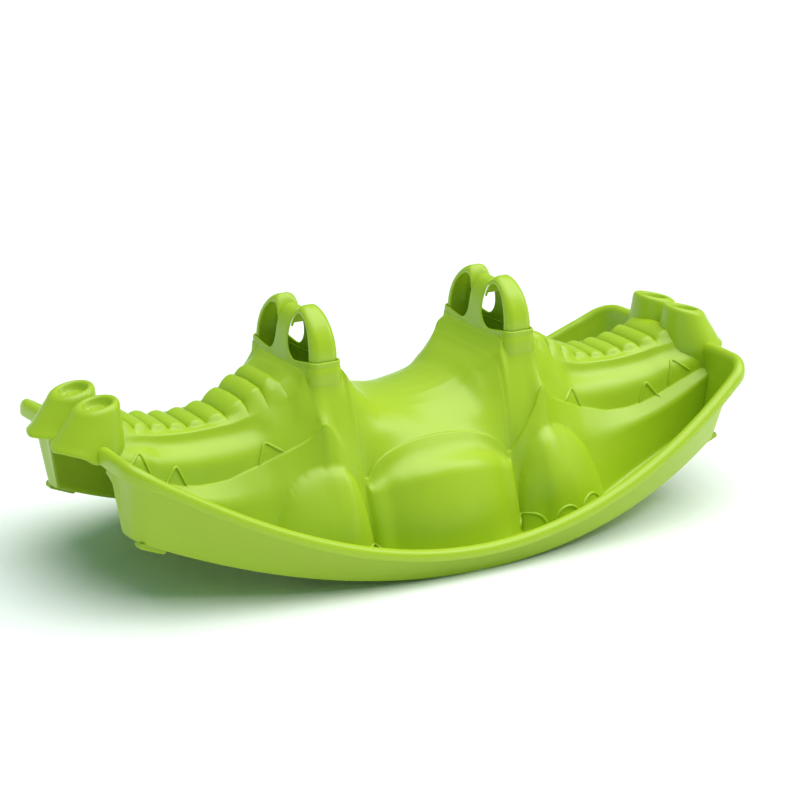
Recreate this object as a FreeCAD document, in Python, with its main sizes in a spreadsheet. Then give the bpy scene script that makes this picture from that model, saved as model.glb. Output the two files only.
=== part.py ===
"""Two-rider crocodile rocker (rocking seesaw), moulded in one colour of polypropylene.

Frame: +X along the length, +Y across, +Z up, millimetres. The origin is on the floor under
the middle of the runners, where the rocker touches the floor at rest.
"""
import FreeCAD, Part
import math
import os

import Sketcher

Vector = FreeCAD.Vector

doc = FreeCAD.newDocument("rocker")
sheet = doc.addObject("Spreadsheet::Sheet", "Sizes")

SIZES = {
    # the whole rocker
    "overall_length": (1030.0, "nostril lip to nostril lip"),
    "overall_width": (487.0, "over the rolled rims at mid-length"),
    "wall": (3.0, "moulded wall"),
    "end_overhang": (66.0, "nostril lip out from the foot of the trough end wall"),
    "section_spacing": (35.0, "largest step between hull sections"),
    # runners: the underside of the two troughs
    "runner_radius": (1162.0, "rocking curve"),
    "runner_inset_mid": (19.0, "runner edge in from the rim, mid-length"),
    "runner_half_end": (134.5, "runner edge at the trough end"),
    # rolled rim
    "rim_width": (16.0, "roll, inner edge to outer edge"),
    "rim_height": (11.0, "roll, lip to top"),
    "rim_round": (4.0, "bevel on the outer top corner of the roll"),
    "rim_half_end": (177.0, "rim edge at the trough end"),
    "lip_mid": (29.0, "rim lip above the floor, mid-length"),
    "lip_end": (169.0, "rim lip above the floor at the trough end"),
    "rim_plan_power": (2.5, "how late the rim narrows"),
    "rim_rise_power": (1.9, "how late the rim rises"),
    # necks and collars that carry the eye hoops
    "handle_half_span": (150.5, "handle centre from mid-length"),
    "collar_half_depth": (23.6, "collar, half size along X"),
    "collar_half_width": (81.6, "collar, half size along Y"),
    "collar_height": (265.0, "collar edge above the floor"),
    "neck_foot_height": (185.0, "level where the neck taper starts"),
    "neck_flare": (25.0, "how far the neck foot stands out past the collar"),
    "corner_radius": (8.0, "rounded corners of neck and collar"),
    "neck_reach": (51.0, "neck region of the moulding, half size along X"),
    "strap_half_width": (12.5, "band between the two eyes"),
    "strap_height": (322.0, "top of the band above the floor"),
    # eye hoops
    "hoop_gap": (1.2, "hoop clear of the collar and strap"),
    "hoop_crown": (330.0, "top of a hoop above the floor"),
    "hoop_crown_half": (19.0, "half the flat of the crown"),
    "hoop_crown_centre": (35.0, "crown from the middle"),
    "hoop_round": (17.0, "rounding of the crown corners"),
    "hoop_edge_round": (4.5, "rounded outer edges of the hoops"),
    "hoop_lip": (9.0, "face left round each window"),
    "hoop_skirt": (26.0, "length held inside the neck"),
    "flange_thickness": (3.0, "foot flange of the hoops"),
    "flange_gap": (0.7, "foot flange clear of the neck wall"),
    # screws that hold each pair of hoops
    "screw_shank": (3.9, "thread diameter"),
    "screw_length": (12.0, "under the head, tip included"),
    "screw_head": (7.6, "head diameter"),
    "screw_head_height": (2.6, "head height"),
    "screw_offset_x": (24.0, "screw from the handle centre along X"),
    "screw_offset_y": (52.0, "screw from the middle along Y"),
    "boss_diameter": (7.6, "screw boss inside the neck"),
    "pilot_clearance": (0.1, "pilot hole over the thread"),
    "flange_hole_clearance": (0.5, "flange hole over the thread"),
    # nostril cups
    "nostril_half_gap": (34.6, "cup centre from the middle"),
    "nostril_setback": (59.0, "cup top centre in from the nose lip"),
    "cup_foot_radius": (46.0, "cup at its lip"),
    "cup_top_radius": (29.0, "cup at its top"),
    "cup_foot_height": (192.0, "cup lip above the floor"),
    "cup_top_height": (245.0, "cup top above the floor"),
    "dimple_radius": (14.0, "nostril hollow"),
    "dimple_depth": (8.0, "nostril hollow"),
    # ribs across the snout
    "rib_count": (8.0, "ribs on each snout"),
    "rib_setback": (42.0, "first rib in from the trough end"),
    "rib_pitch": (26.8, "rib to rib"),
    "rib_radius": (16.0, "crown of a rib"),
    "rib_half_width": (40.0, "rib, half size along Y"),
    "rib_rise": (3.0, "rib above the snout"),
    # end stops under the runner ends
    "stop_setback": (20.0, "stop centre in from the trough end"),
    "stop_inset": (15.0, "stop centre in from the runner edge"),
    "stop_length": (38.0, "along the runner"),
    "stop_width": (15.0, "across the runner"),
    "stop_height": (8.0, "below the runner"),
    "stop_round": (4.0, "rounded lower edges"),
    "stop_seat": (0.6, "flat seat cut into the curved runner"),
    "peg_diameter": (6.0, "fixing peg"),
    "peg_spacing": (20.0, "between the two pegs"),
    "peg_clearance": (0.4, "peg hole over the peg"),
    "barb_diameter": (8.0, "barb on the peg"),
    "barb_height": (4.0, "barb on the peg"),
}

for row, (alias, (value, note)) in enumerate(SIZES.items(), start=1):
    sheet.set("A%d" % row, alias)
    sheet.set("B%d" % row, repr(value))
    sheet.set("C%d" % row, note)
    sheet.setAlias("B%d" % row, alias)
doc.recompute()


def size(alias):
    return float(sheet.get(alias))


wall = size("wall")
half_length = size("overall_length") / 2
half_width = size("overall_width") / 2
trough_end = half_length - size("end_overhang")
handle_x = size("handle_half_span")
runner_half_mid = half_width - size("runner_inset_mid")

# Table of offsets: half sections of the top surface, from the crest outwards. Each row holds
# the section's place along X and crest height, then across and up of shoulder, cheek and
# ledge, and last the foot of the wall that drops into the trough.
OFFSETS = [
    (0.0, 191.0, 60.0, 180.0, 112.0, 153.0, 157.0, 120.0, 188.0),
    (handle_x - 92.0, 200.0, 60.0, 189.0, 103.0, 160.0, 140.0, 123.0, 162.0),
    (handle_x - 40.0, 222.0, 60.0, 211.0, 94.0, 178.0, 109.0, 142.0, 121.0),
    (handle_x + 10.0, 226.0, 62.0, 218.0, 102.0, 186.0, 131.0, 137.0, 160.0),
    (handle_x + 50.0, 220.0, 52.0, 210.0, 88.0, 165.0, 126.0, 127.0, 157.0),
    (handle_x + 94.0, 210.0, 46.0, 200.0, 74.0, 150.0, 112.0, 116.0, 140.0),
    (trough_end - 119.0, 203.0, 37.0, 191.0, 74.0, 136.0, 98.0, 112.0, 110.0),
    (trough_end - 49.0, 210.0, 45.0, 201.0, 76.0, 154.0, 96.0, 136.0, 101.0),
    (trough_end, 220.0, 52.0, 210.0, 78.0, 178.0, 88.0, 160.0, 94.0),
]

# Plan of the end rim, from the trough corner round to the cups: out past the trough end wall,
# and in from the outer edge of the rim.
END_PLAN = [(-4.0, 0.0), (24.0, 13.0), (40.0, 38.0), (50.0, 76.0), (59.0, 118.4)]


def offsets_at(x):
    """Row of offsets at x, eased between the rows of the table so that nothing overshoots."""
    for low, high in zip(OFFSETS, OFFSETS[1:]):
        if x <= high[0]:
            share = (x - low[0]) / (high[0] - low[0])
            eased = share * share * (3 - 2 * share)
            return [x] + [a + (b - a) * eased for a, b in zip(low[1:], high[1:])]
    return list(OFFSETS[-1])


def station_places():
    """Places along X of the lofted half sections."""
    places = [0.0]
    for low, high in zip(OFFSETS, OFFSETS[1:]):
        steps = math.ceil((high[0] - low[0]) / size("section_spacing"))
        places += [low[0] + (high[0] - low[0]) * i / steps for i in range(1, steps + 1)]
    return places


def runner_z(x):
    """Height of the rocking curve."""
    return size("runner_radius") - math.sqrt(size("runner_radius") ** 2 - x * x)


def runner_edge(x):
    """Outer edge of the runner, from the middle."""
    share = (x / trough_end) ** 2
    return runner_half_mid + (size("runner_half_end") - runner_half_mid) * share


def rim_edge(x):
    """Outer edge of the rolled rim, from the middle."""
    share = (abs(x) / trough_end) ** size("rim_plan_power")
    return half_width + (size("rim_half_end") - half_width) * share


def lip_z(x):
    """Height of the lip of the rolled rim."""
    share = (abs(x) / trough_end) ** size("rim_rise_power")
    return size("lip_mid") + (size("lip_end") - size("lip_mid")) * share


def offset_line(points, distance):
    """Open line moved to its right-hand side by distance, with mitred corners."""
    normals = []
    for (y0, z0), (y1, z1) in zip(points, points[1:]):
        run = math.hypot(y1 - y0, z1 - z0)
        normals.append(((z1 - z0) / run, -(y1 - y0) / run))
    moved = []
    for i, (y, z) in enumerate(points):
        before = normals[max(i - 1, 0)]
        after = normals[min(i, len(normals) - 1)]
        y_sum = before[0] + after[0]
        z_sum = before[1] + after[1]
        scale = 2 * distance / (y_sum ** 2 + z_sum ** 2)
        moved.append((y + y_sum * scale, z + z_sum * scale))
    return moved


def half_section(x):
    """Top surface of one half at x, crest to lip, as (y, z) points."""
    row = offsets_at(x)
    floor = runner_z(x) + wall
    rim = rim_edge(x)
    top = lip_z(x) + size("rim_height")
    bevel = size("rim_round")
    return [
        (0.0, row[1]), (row[2], row[3]), (row[4], row[5]), (row[6], row[7]),
        (row[8], floor), (runner_edge(x) - wall, floor),
        (rim - size("rim_width"), top), (rim - bevel, top),
        (rim, top - bevel), (rim, lip_z(x)),
    ]


def section_wire(x):
    """Closed outline of the moulded wall at x: top surface out, underside back."""
    upper = half_section(abs(x))
    full = [(-y, z) for y, z in reversed(upper[1:])] + upper
    under = offset_line(full, wall)
    outline = [Vector(x, y, z) for y, z in full + under[::-1]]
    return Part.makePolygon(outline + outline[:1])


def rounded_plate(half_x, half_y, radius, z, centre_x):
    """Closed wire of a rounded rectangle at height z."""
    limit = min(half_x, half_y) - 0.5
    bend = min(radius, limit)
    face = Part.makePlane(2 * half_x, 2 * half_y, Vector(centre_x - half_x, -half_y, z))
    block = face.extrude(Vector(0, 0, 1))
    upright = [e for e in block.Edges if abs(e.Vertexes[0].Z - e.Vertexes[1].Z) > 0.5]
    block = block.makeFillet(bend, upright)
    base = min(block.Faces, key=lambda f: f.CenterOfMass.z)
    return base.OuterWire


def neck_solid(centre_x, inset, low, high):
    """Tapered neck between two heights, moved in from the outer skin by inset."""
    def wire(z):
        share = (size("collar_height") - z) / (size("collar_height") - size("neck_foot_height"))
        grow = size("neck_flare") * share - inset
        return rounded_plate(size("collar_half_depth") + grow, size("collar_half_width") + grow,
                             max(size("corner_radius") + grow, 1.0), z, centre_x)
    return Part.makeLoft([wire(low), wire(high)], True, True)


def strap_solid(centre_x, inset, low):
    """Band over the top of the neck, rounded along X."""
    reach = size("collar_half_depth") - inset
    top = size("strap_height") - inset
    bend = size("collar_half_depth")
    half = size("strap_half_width") if inset == 0 else size("strap_half_width") + 1
    left = Vector(centre_x - reach, -half, low)
    right = Vector(centre_x + reach, -half, low)
    spring = top - bend + inset
    arch = Part.Arc(Vector(centre_x - reach, -half, spring), Vector(centre_x, -half, top),
                    Vector(centre_x + reach, -half, spring)).toShape()
    legs = [
        Part.makeLine(left, Vector(centre_x - reach, -half, spring)), arch,
        Part.makeLine(Vector(centre_x + reach, -half, spring), right), Part.makeLine(right, left),
    ]
    return Part.Face(Part.Wire(legs)).extrude(Vector(0, 2 * half, 0))


def cup_solid(end, side, inset):
    """One nostril cup: a leaning cone, moved in from the outer skin by inset."""
    foot_x = end * (half_length - size("cup_foot_radius"))
    top_x = end * (half_length - size("nostril_setback"))
    y = side * size("nostril_half_gap")
    foot = Part.Circle(Vector(foot_x, y, size("cup_foot_height") - inset), Vector(0, 0, 1),
                       size("cup_foot_radius") - inset).toShape()
    top = Part.Circle(Vector(top_x, y, size("cup_top_height") - inset), Vector(0, 0, 1),
                      size("cup_top_radius") - inset).toShape()
    return Part.makeLoft([Part.Wire([foot]), Part.Wire([top])], True, True)


def end_outline(inset):
    """Plan of the rim round one end, moved in by inset, as (x, y) of one quarter."""
    points = [(trough_end + out - inset, size("rim_half_end") - back - inset)
              for out, back in END_PLAN]
    middle = size("nostril_half_gap")
    return points + [(half_length - size("cup_top_radius"), middle), (points[0][0], middle)]


def plan_prism(points, end, side):
    """Upright prism over a plan outline."""
    low = size("lip_mid")
    loop = [Vector(end * x, side * y, low) for x, y in points]
    return Part.Face(Part.makePolygon(loop + loop[:1])).extrude(Vector(0, 0, 3 * size("lip_end")))


def end_slab(side, top_offset, thickness):
    """Tilted slab that the end rim follows, rising from the corner to the cups."""
    run = size("rim_half_end") - size("nostril_half_gap")
    rise = size("cup_foot_height") - size("lip_end")
    corner = size("lip_end") + size("rim_height") + top_offset
    points = [
        (0.0, size("rim_half_end"), corner), (0.0, size("rim_half_end") - run, corner + rise),
    ]
    y0, z0 = points[0][1], points[0][2]
    y1, z1 = points[1][1], points[1][2]
    loop = [
        Vector(-half_length, side * y0, z0), Vector(-half_length, side * y1, z1),
        Vector(-half_length, side * y1, z1 - thickness), Vector(-half_length, side * y0, z0 - thickness),
    ]
    return Part.Face(Part.makePolygon(loop + loop[:1])).extrude(Vector(2 * half_length, 0, 0))


def end_wall(end, side):
    """Plate that closes the end of one trough, up to the end rim."""
    section = half_section(trough_end)
    cheek, ledge, foot, floor, rim = section[2:7]
    slope = (size("cup_foot_height") - size("lip_end")) / (size("rim_half_end") - size("nostril_half_gap"))
    top = size("lip_end") + size("rim_height") - wall / 2
    inner = cheek[0] - wall
    outline = [
        (inner, top + slope * (size("rim_half_end") - inner)), (inner, cheek[1]),
        (ledge[0] - wall, ledge[1]), (foot[0] - wall, floor[1] - wall),
        (floor[0] + wall, floor[1] - wall), (rim[0] + wall, top), (rim[0], top),
    ]
    x = end * trough_end
    loop = [Vector(x, side * y, z) for y, z in outline]
    return Part.Face(Part.makePolygon(loop + loop[:1])).extrude(Vector(-end * wall, 0, 0))


def stop_placement(end, side):
    """Seat of one end stop: middle of its top face, tilted to the rocking curve."""
    x = end * (trough_end - size("stop_setback"))
    y = side * (runner_edge(x) - size("stop_inset"))
    tilt = math.degrees(math.asin(x / size("runner_radius")))
    spot = Vector(x, y, runner_z(x) + size("stop_seat"))
    return FreeCAD.Placement(spot, FreeCAD.Rotation(Vector(0, 1, 0), -tilt))


def stop_seat_cut(end, side):
    """Flat seat and two peg holes for one end stop."""
    fit = size("peg_clearance")
    length = size("stop_length") + fit
    width = size("stop_width") + fit
    depth = size("stop_height")
    cut = Part.makeBox(length, width, depth, Vector(-length / 2, -width / 2, -depth))
    for along in (-1, 1):
        peg = Part.makeCylinder((size("peg_diameter") + fit) / 2, 4 * wall,
                                Vector(along * size("peg_spacing") / 2, 0, -wall))
        cut = cut.fuse(peg)
    cut.Placement = stop_placement(end, side)
    return cut


def screw_spots(end):
    """Places of the four screws of one pair of hoops, under the flange."""
    under = size("collar_height") - size("hoop_skirt") - size("flange_thickness")
    return [Vector(end * handle_x + i * size("screw_offset_x"), j * size("screw_offset_y"), under)
            for i in (-1, 1) for j in (-1, 1)]


ENDS = {"left": -1, "right": 1}
SIDES = {"front": -1, "rear": 1}


def snout_ribs(end, inset):
    """Half-round ribs across the top of one snout, moved in from the outer skin by inset."""
    ribs = []
    half = size("rib_half_width") - inset
    radius = size("rib_radius") - inset
    for i in range(int(size("rib_count"))):
        x = trough_end - size("rib_setback") - i * size("rib_pitch")
        axis = offsets_at(x)[1] + size("rib_rise") - size("rib_radius")
        rod = Part.makeCylinder(radius, 2 * half, Vector(end * x, -half, axis), Vector(0, 1, 0))
        above = Part.makeBox(2 * radius, 2 * half, radius,
                             Vector(end * x - radius, -half, axis - inset))
        ribs.append(rod.common(above))
    return ribs


def moulded_shell():
    """The one-piece body: troughs, snouts, necks, straps, nostril cups and rim."""
    places = station_places()
    places = [-x for x in reversed(places[1:])] + places
    shell = Part.makeLoft([section_wire(x) for x in places], True, False)
    collar = size("collar_height")
    foot = size("neck_foot_height")
    band_low = collar - size("corner_radius")
    skin = []
    hollow = []
    lugs = []
    holes = []
    for end in ENDS.values():
        x = end * handle_x
        skin += [neck_solid(x, 0, foot, collar), strap_solid(x, 0, band_low)]
        hollow += [neck_solid(x, wall, foot - wall, collar + wall), strap_solid(x, wall, band_low)]
        skin += snout_ribs(end, 0)
        hollow += snout_ribs(end, wall)
        for spot in screw_spots(end):
            seat = spot + Vector(0, 0, size("flange_thickness"))
            boss = Part.makeCylinder(size("boss_diameter") / 2, size("screw_length"), seat)
            pilot = (size("screw_shank") + size("pilot_clearance")) / 2
            lugs.append(boss)
            holes.append(Part.makeCylinder(pilot, size("screw_length") - wall, seat))
        for side in SIDES.values():
            skin += [cup_solid(end, side, 0), end_wall(end, side)]
            hollow.append(cup_solid(end, side, wall))
            outer = plan_prism(end_outline(0), end, side)
            inner = plan_prism(end_outline(wall), end, side)
            skin.append(outer.common(end_slab(side, 0, wall)))
            skin.append(outer.cut(inner).common(end_slab(side, 0, size("rim_height"))))
            lug, dimple = nostril(end, side)
            lugs.append(lug)
            holes += [dimple, stop_seat_cut(end, side)]
    return shell.multiFuse(skin).cut(hollow).multiFuse(lugs).cut(holes)


def nostril(end, side):
    """Thick pad under one cup top, and the hollow pressed into it."""
    centre = Vector(end * (half_length - size("nostril_setback")), side * size("nostril_half_gap"),
                    size("cup_top_height") - wall / 2)
    deep = size("dimple_depth")
    pad = Part.makeCylinder(size("dimple_radius") + wall, deep + wall / 2, centre,
                            Vector(0, 0, -1))
    top = centre + Vector(0, 0, wall)
    hollow = Part.makeCone(size("dimple_radius") + wall / 2, size("dimple_radius") - wall, deep + wall,
                           top - Vector(0, 0, wall / 2), Vector(0, 0, -1))
    return pad, hollow


def region_prism(outline):
    """Upright prism over a plan outline, taller than the rocker."""
    low = -size("lip_mid")
    loop = [Vector(x, y, low) for x, y in outline]
    return Part.Face(Part.makePolygon(loop + loop[:1])).extrude(Vector(0, 0, 2 * half_length))


def body_regions(moulding):
    """The one moulding divided by name: four troughs, two snouts, two necks and the back.

    The troughs end at an upright curtain just outside the foot of the inner walls, and the
    rest is divided across X. Neighbours meet face to face.
    """
    curtain = [(x, offsets_at(x)[8] + wall) for x in station_places()]
    beyond = 2 * half_length
    regions = {}
    for end_name, end in ENDS.items():
        for side_name, side in SIDES.items():
            inner = curtain + [(beyond, curtain[-1][1])]
            outline = inner + [(beyond, beyond), (0.0, beyond)]
            prism = region_prism([(end * x, side * y) for x, y in outline])
            regions["body_trough_%s_%s" % (end_name, side_name)] = moulding.common(prism)
    right = curtain + [(beyond, curtain[-1][1])]
    upper = [(-x, y) for x, y in reversed(right[1:])] + right
    middle = moulding.common(region_prism(upper + [(x, -y) for x, y in reversed(upper)]))
    near = handle_x - size("neck_reach")
    far = handle_x + size("neck_reach")
    stretches = {
        "body_back": (-near, near), "body_neck_left": (-far, -near), "body_neck_right": (near, far),
        "body_snout_left": (-beyond, -far), "body_snout_right": (far, beyond),
    }
    for name, (low, high) in stretches.items():
        slab = region_prism([(low, -beyond), (high, -beyond), (high, beyond), (low, beyond)])
        regions[name] = middle.common(slab)
    return regions


def bind(item, **expressions):
    """Tie properties of a document object to cells of the sheet."""
    for name, expression in expressions.items():
        item.setExpression(name, expression)


def plane_of(body, role):
    return [plane for plane in body.Origin.OriginFeatures if plane.Role == role][0]


def outline_sketch(body, name, role, loops, level=None):
    """Sketch of closed straight-sided loops; every corner is a pair of sheet expressions."""
    sketch = body.newObject("Sketcher::SketchObject", name)
    sketch.AttachmentSupport = [(plane_of(body, role), "")]
    sketch.MapMode = "FlatFace"
    if level:
        sketch.setExpression("AttachmentOffset.Base.z", level)
    for loop in loops:
        first = sketch.GeometryCount
        spots = [Vector(evaluate(across), evaluate(up), 0) for across, up in loop]
        for start, stop in zip(spots, spots[1:] + spots[:1]):
            sketch.addGeometry(Part.LineSegment(start, stop), False)
        for i, (across, up) in enumerate(loop):
            line = first + i
            after = first + (i + 1) % len(loop)
            sketch.addConstraint(Sketcher.Constraint("Coincident", line, 2, after, 1))
            for kind, text, value in (("DistanceX", across, spots[i].x), ("DistanceY", up, spots[i].y)):
                index = sketch.addConstraint(Sketcher.Constraint(kind, -1, 1, line, 1, value))
                sketch.setExpression("Constraints[%d]" % index, text)
    return sketch


def evaluate(expression):
    """Value of a sheet expression now, for a sketch's first guess."""
    return float(sheet.evalExpression(expression.replace("Sizes.", "")))


def mirrored_loop(loop):
    return [("-(%s)" % across, up) for across, up in reversed(loop)]


def symmetric(feature, length):
    feature.SideType = "Symmetric"
    feature.setExpression("Length", length)


def rectangle(half_x, half_y):
    """Corners of a centred rectangle."""
    return [("-" + half_x, "-" + half_y), (half_x, "-" + half_y), (half_x, half_y), ("-" + half_x, half_y)]


def cut_rectangle(half_x, half_y, bend):
    """Corners of a centred rectangle whose corners stay inside a bend of that radius."""
    quarter = [
        (half_x, "(%s - %s)" % (half_y, bend)),
        ("(%s - 0.3 * %s)" % (half_x, bend), "(%s - 0.3 * %s)" % (half_y, bend)),
        ("(%s - %s)" % (half_x, bend), half_y),
    ]
    left = [("-" + across, up) for across, up in reversed(quarter)]
    upper = quarter + left
    return upper + [(across, "-" + up) for across, up in reversed(upper)]


def foot_flange(body, name, depth, edge, foot):
    """Flange round the foot of the skirt, its corners cut back to stay inside the neck."""
    drop = "(Sizes.neck_flare * Sizes.hoop_skirt / (Sizes.collar_height - Sizes.neck_foot_height))"
    reach_x = "(Sizes.collar_half_depth + %s - Sizes.wall - Sizes.flange_gap)" % drop
    reach_y = "(Sizes.collar_half_width + %s - Sizes.wall - Sizes.flange_gap)" % drop
    bend = "(Sizes.corner_radius + %s)" % drop
    hole = rectangle("(%s / 2 - Sizes.wall)" % depth, "(%s - Sizes.wall)" % edge)
    outline = outline_sketch(body, name + "_flange_outline", "XY_Plane",
                             [cut_rectangle(reach_x, reach_y, bend), hole], foot)
    flange = body.newObject("PartDesign::Pad", name + "_flange")
    flange.Profile = outline
    flange.Reversed = True
    flange.setExpression("Length", "Sizes.flange_thickness")


def screw_holes(body, name, foot):
    """Four clearance holes down through the flange."""
    drilled = body.newObject("Sketcher::SketchObject", name + "_screw_circles")
    drilled.AttachmentSupport = [(plane_of(body, "XY_Plane"), "")]
    drilled.MapMode = "FlatFace"
    drilled.setExpression("AttachmentOffset.Base.z", foot)
    shank = size("screw_shank")
    for i in (-1, 1):
        for j in (-1, 1):
            spot = Vector(i * size("screw_offset_x"), j * size("screw_offset_y"), 0)
            circle = drilled.addGeometry(Part.Circle(spot, Vector(0, 0, 1), shank), False)
            for kind, sense, alias, value in (("DistanceX", i, "screw_offset_x", spot.x),
                                              ("DistanceY", j, "screw_offset_y", spot.y)):
                index = drilled.addConstraint(Sketcher.Constraint(kind, -1, 1, circle, 3, value))
                drilled.setExpression("Constraints[%d]" % index, "%d * Sizes.%s" % (sense, alias))
            index = drilled.addConstraint(Sketcher.Constraint("Diameter", circle, shank))
            drilled.setExpression("Constraints[%d]" % index,
                                  "Sizes.screw_shank + Sizes.flange_hole_clearance")
    holes = body.newObject("PartDesign::Pocket", name + "_screw_holes")
    holes.Profile = drilled
    holes.setExpression("Length", "Sizes.flange_thickness")


def eye_hoops(name, end):
    """Pair of hollow eye hoops on one skirt, pushed up into a neck from below."""
    body = doc.addObject("PartDesign::Body", name)
    body.Label = name
    sign = "-" if end < 0 else ""
    body.setExpression(".Placement.Base.x", sign + "Sizes.handle_half_span")
    depth = "2 * (Sizes.collar_half_depth - Sizes.wall - Sizes.hoop_gap)"
    edge = "Sizes.collar_half_width - Sizes.wall - Sizes.hoop_gap"
    near = "Sizes.strap_half_width + Sizes.hoop_gap"
    crown_in = "Sizes.hoop_crown_centre - Sizes.hoop_crown_half"
    crown_out = "Sizes.hoop_crown_centre + Sizes.hoop_crown_half"
    foot = "Sizes.collar_height - Sizes.hoop_skirt"
    step = "Sizes.collar_height - Sizes.wall"
    outer = [
        (edge, foot), (edge, step), (crown_out, "Sizes.hoop_crown"), (crown_in, "Sizes.hoop_crown"),
        (near, step),
    ]
    skin = outline_sketch(body, name + "_outline", "YZ_Plane", [outer + mirrored_loop(outer)])
    pad = body.newObject("PartDesign::Pad", name + "_block")
    pad.Profile = skin
    symmetric(pad, depth)
    doc.recompute()
    crown_edges = []
    for number, corner in enumerate(pad.Shape.Edges, start=1):
        middle = corner.CenterOfMass
        if abs(middle.x) < 0.1 and middle.z > size("hoop_crown") - 0.1:
            crown_edges.append("Edge%d" % number)
    crown = body.newObject("PartDesign::Fillet", name + "_crowns")
    crown.Base = (pad, crown_edges)
    crown.setExpression("Radius", "Sizes.hoop_round")
    doc.recompute()
    upright_edges = []
    for number, corner in enumerate(crown.Shape.Edges, start=1):
        ends = [vertex.Point for vertex in corner.Vertexes]
        beyond = min(abs(spot.y) for spot in ends) > size("hoop_crown_half") + size("hoop_crown_centre")
        if beyond and abs(ends[0].x - ends[-1].x) < 0.1 and abs(ends[0].z - ends[-1].z) > 1:
            upright_edges.append("Edge%d" % number)
    rounded = body.newObject("PartDesign::Fillet", name + "_edges")
    rounded.Base = (crown, upright_edges)
    rounded.setExpression("Radius", "Sizes.hoop_edge_round")
    inner = [
        (edge + " - Sizes.wall", foot + " - Sizes.wall"), (edge + " - Sizes.wall", step),
        (crown_out + " - Sizes.wall", "Sizes.hoop_crown - Sizes.wall * 2"),
        (crown_in + " + Sizes.wall", "Sizes.hoop_crown - Sizes.wall * 2"),
        (near + " + Sizes.wall", step + " - Sizes.wall"),
    ]
    hollow_outline = outline_sketch(body, name + "_hollow_outline", "YZ_Plane",
                                    [inner + mirrored_loop(inner)])
    hollow = body.newObject("PartDesign::Pocket", name + "_hollow")
    hollow.Profile = hollow_outline
    symmetric(hollow, depth + " - 2 * Sizes.wall")
    window = [
        (near + " + Sizes.wall", "Sizes.collar_height + Sizes.wall"),
        (edge + " - Sizes.hoop_lip - Sizes.wall", "Sizes.collar_height + Sizes.wall"),
        (crown_out + " - Sizes.hoop_lip", "Sizes.hoop_crown - Sizes.hoop_lip * 2"),
        (crown_out + " - Sizes.hoop_lip * 2", "Sizes.hoop_crown - Sizes.hoop_lip"),
        (crown_in + " + Sizes.hoop_lip / 2", "Sizes.hoop_crown - Sizes.hoop_lip"),
    ]
    window_outline = outline_sketch(body, name + "_window_outline", "YZ_Plane",
                                    [window, mirrored_loop(window)])
    windows = body.newObject("PartDesign::Pocket", name + "_windows")
    windows.Profile = window_outline
    symmetric(windows, depth + " + 2 * Sizes.wall")
    foot_flange(body, name, depth, edge, foot)
    screw_holes(body, name, foot)
    return body


def screw(name, spot):
    """Pan-head screw for plastic, head down under the hoop flange."""
    head = doc.addObject("Part::Cylinder", name + "_head")
    bind(head, Radius="Sizes.screw_head / 2", Height="Sizes.screw_head_height")
    head.Placement.Base = Vector(0, 0, -size("screw_head_height"))
    head.setExpression(".Placement.Base.z", "-Sizes.screw_head_height")
    shank = doc.addObject("Part::Cylinder", name + "_shank")
    bind(shank, Radius="Sizes.screw_shank / 2", Height="Sizes.screw_length - Sizes.wall")
    piece = doc.addObject("Part::Fuse", name)
    piece.Base = head
    piece.Tool = shank
    piece.Placement.Base = spot
    return piece


def end_stop(name, end, side):
    """Snap-in end stop under one runner end."""
    block = doc.addObject("Part::Box", name + "_block")
    bind(block, Length="Sizes.stop_length", Width="Sizes.stop_width",
         Height="Sizes.stop_height")
    block.setExpression(".Placement.Base.x", "-Sizes.stop_length / 2")
    block.setExpression(".Placement.Base.y", "-Sizes.stop_width / 2")
    block.setExpression(".Placement.Base.z", "-Sizes.stop_height")
    doc.recompute()
    low_edges = []
    for number, corner in enumerate(block.Shape.Edges, start=1):
        if corner.CenterOfMass.z < -size("stop_height") + 0.1:
            low_edges.append((number, size("stop_round"), size("stop_round")))
    pad = doc.addObject("Part::Fillet", name + "_pad")
    pad.Base = block
    pad.Edges = low_edges
    pieces = [pad]
    for i, along in enumerate(("-", ""), start=1):
        peg = doc.addObject("Part::Cylinder", "%s_peg_%d" % (name, i))
        bind(peg, Radius="Sizes.peg_diameter / 2", Height="Sizes.wall")
        peg.setExpression(".Placement.Base.x", along + "Sizes.peg_spacing / 2")
        barb = doc.addObject("Part::Cone", "%s_barb_%d" % (name, i))
        bind(barb, Radius1="Sizes.barb_diameter / 2", Radius2="Sizes.peg_diameter / 3",
             Height="Sizes.barb_height")
        barb.setExpression(".Placement.Base.x", along + "Sizes.peg_spacing / 2")
        barb.setExpression(".Placement.Base.z", "Sizes.wall")
        pieces += [peg, barb]
    stop = doc.addObject("Part::MultiFuse", name)
    stop.Shapes = pieces
    stop.Placement = stop_placement(end, side)
    return stop


nodes = []
for name, shape in body_regions(moulded_shell()).items():
    region = doc.addObject("Part::Feature", name)
    region.Shape = shape
    nodes.append(region)
for end_name, end in ENDS.items():
    nodes.append(eye_hoops("eye_hoops_" + end_name, end))
    doc.recompute()
    screws = [screw("screw_%s_%d" % (end_name, i), spot)
              for i, spot in enumerate(screw_spots(end), start=1)]
    group = doc.addObject("Part::Compound", "hoop_screws_" + end_name)
    group.Links = screws
    nodes.append(group)
    for side_name, side in SIDES.items():
        nodes.append(end_stop("end_stop_%s_%s" % (end_name, side_name), end, side))
doc.recompute()

for item in doc.Objects:
    if "Invalid" in item.State or "Error" in item.State:
        raise RuntimeError("%s did not build: %s" % (item.Name, item.State))
for node in nodes:
    if node.Shape.isNull() or not node.Shape.isValid():
        raise RuntimeError("%s has no valid shape" % node.Label)

os.makedirs("parts", exist_ok=True)
for node in nodes:
    node.Shape.exportStep("parts/%s.step" % node.Label)
    print(node.Label, "solids", len(node.Shape.Solids), "volume", round(node.Shape.Volume))
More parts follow.
